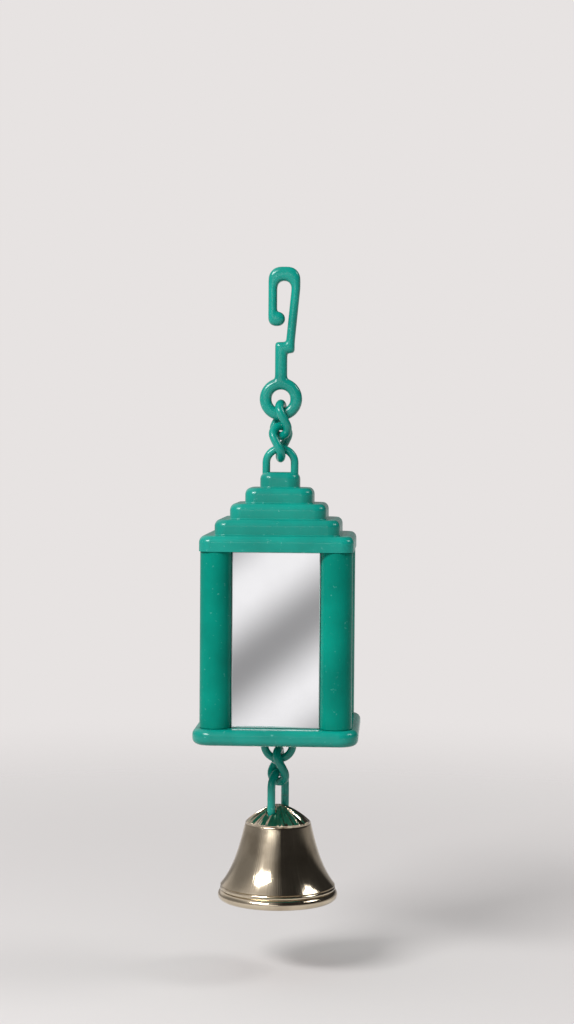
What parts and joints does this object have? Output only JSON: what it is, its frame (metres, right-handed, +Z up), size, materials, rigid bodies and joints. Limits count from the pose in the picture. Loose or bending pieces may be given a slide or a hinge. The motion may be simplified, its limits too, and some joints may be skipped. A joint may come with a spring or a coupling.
{
  "type": "hanging mirror toy",
  "caption": "Hanging cage toy: a stepped-roof lantern with a mirror plate on each side, hung from a snap hook by twisted chain links, with a flared bell and clapper below.",
  "frame": {"origin": "seat inside the bend of the hanging hook, where a cage bar bears", "axes": "+Z up along the hanging line, -Y out of the front mirror, +X to the right seen from the front"},
  "size_m": [0.0356, 0.0356, 0.1388],
  "materials": {
    "green_plastic": "glossy moulded plastic, teal green",
    "mirror_plate": "silvered sheet",
    "foam_pad": "white foam adhesive pad",
    "nickel": "polished nickel plate",
    "steel": "plain steel"
  },
  "bodies": {
    "hook": {"hanging_hook": "green_plastic"},
    "first_link": {"upper_link": "green_plastic"},
    "second_link": {"upper_link_second": "green_plastic"},
    "lantern": {"roof": "green_plastic", "mirror_frame": "green_plastic", "base": "green_plastic", "mirror_front": "mirror_plate", "mirror_right": "mirror_plate", "mirror_back": "mirror_plate", "mirror_left": "mirror_plate", "mirror_pad_front": "foam_pad", "mirror_pad_right": "foam_pad", "mirror_pad_back": "foam_pad", "mirror_pad_left": "foam_pad"},
    "third_link": {"lower_link": "green_plastic"},
    "bell": {"bell_shell": "nickel", "bell_hanger": "green_plastic"},
    "clapper": {"clapper_wire": "steel", "clapper_ball": "steel"}
  },
  "joints": [
    {"name": "first_link_swing", "type": "hinge", "parent": "hook", "child": "first_link", "pos_m": [0, 0, -0.0293], "axis": [1, 0, 0], "range_deg": [-70, 70]},
    {"name": "second_link_swing", "type": "hinge", "parent": "first_link", "child": "second_link", "pos_m": [0, 0, -0.03395], "axis": [-0.766, 0.6428, 0], "range_deg": [-60, 60]},
    {"name": "lantern_swing", "type": "hinge", "parent": "second_link", "child": "lantern", "pos_m": [0, 0, -0.03885], "axis": [0.1736, -0.9848, 0], "range_deg": [-70, 70]},
    {"name": "third_link_swing", "type": "hinge", "parent": "lantern", "child": "third_link", "pos_m": [0, 0, -0.105], "axis": [1, 0, 0], "range_deg": [-45, 45]},
    {"name": "bell_swing", "type": "hinge", "parent": "third_link", "child": "bell", "pos_m": [0, 0, -0.11], "axis": [-0.766, 0.6428, 0], "range_deg": [-45, 45]},
    {"name": "clapper_swing", "type": "hinge", "parent": "bell", "child": "clapper", "pos_m": [0, 0, -0.11895], "axis": [-0.4226, -0.9063, 0], "range_deg": [-30, 30]}
  ]
}
